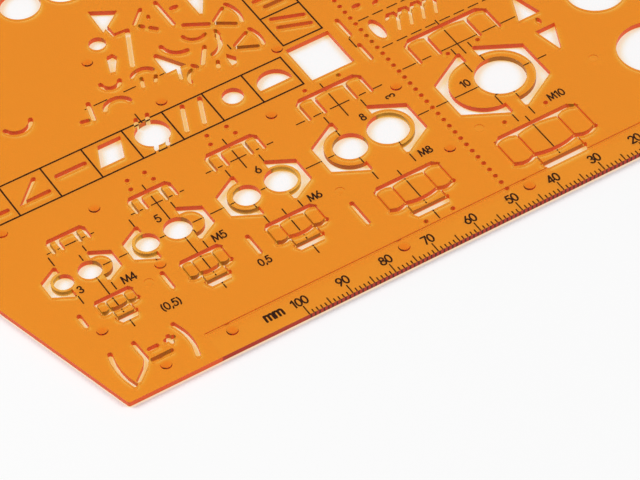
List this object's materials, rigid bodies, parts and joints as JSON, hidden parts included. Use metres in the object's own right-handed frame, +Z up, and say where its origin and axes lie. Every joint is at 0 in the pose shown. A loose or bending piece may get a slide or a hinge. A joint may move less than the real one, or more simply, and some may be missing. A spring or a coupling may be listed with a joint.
{
  "type": "drawing template",
  "caption": "Transparent flat drawing stencil with pen slots for bolts, nuts and drawing signs, a millimetre edge and one slanted side.",
  "frame": {"origin": "on the ground plane, under the middle of the sheet's bounding box", "axes": "+X along the millimetre edge towards its lower numbers, +Y away from that edge across the sheet, +Z up out of the printed reading side"},
  "size_m": [0.1849, 0.12, 0.0015],
  "materials": {
    "tinted_acrylic": "polished transparent acrylic, tinted orange",
    "printing_ink": "thin opaque printed ink on the underside"
  },
  "bodies": {
    "root": {"template_sheet": "tinted_acrylic", "sign_row_print": "printing_ink", "sign_column_print": "printing_ink"}
  },
  "joints": []
}
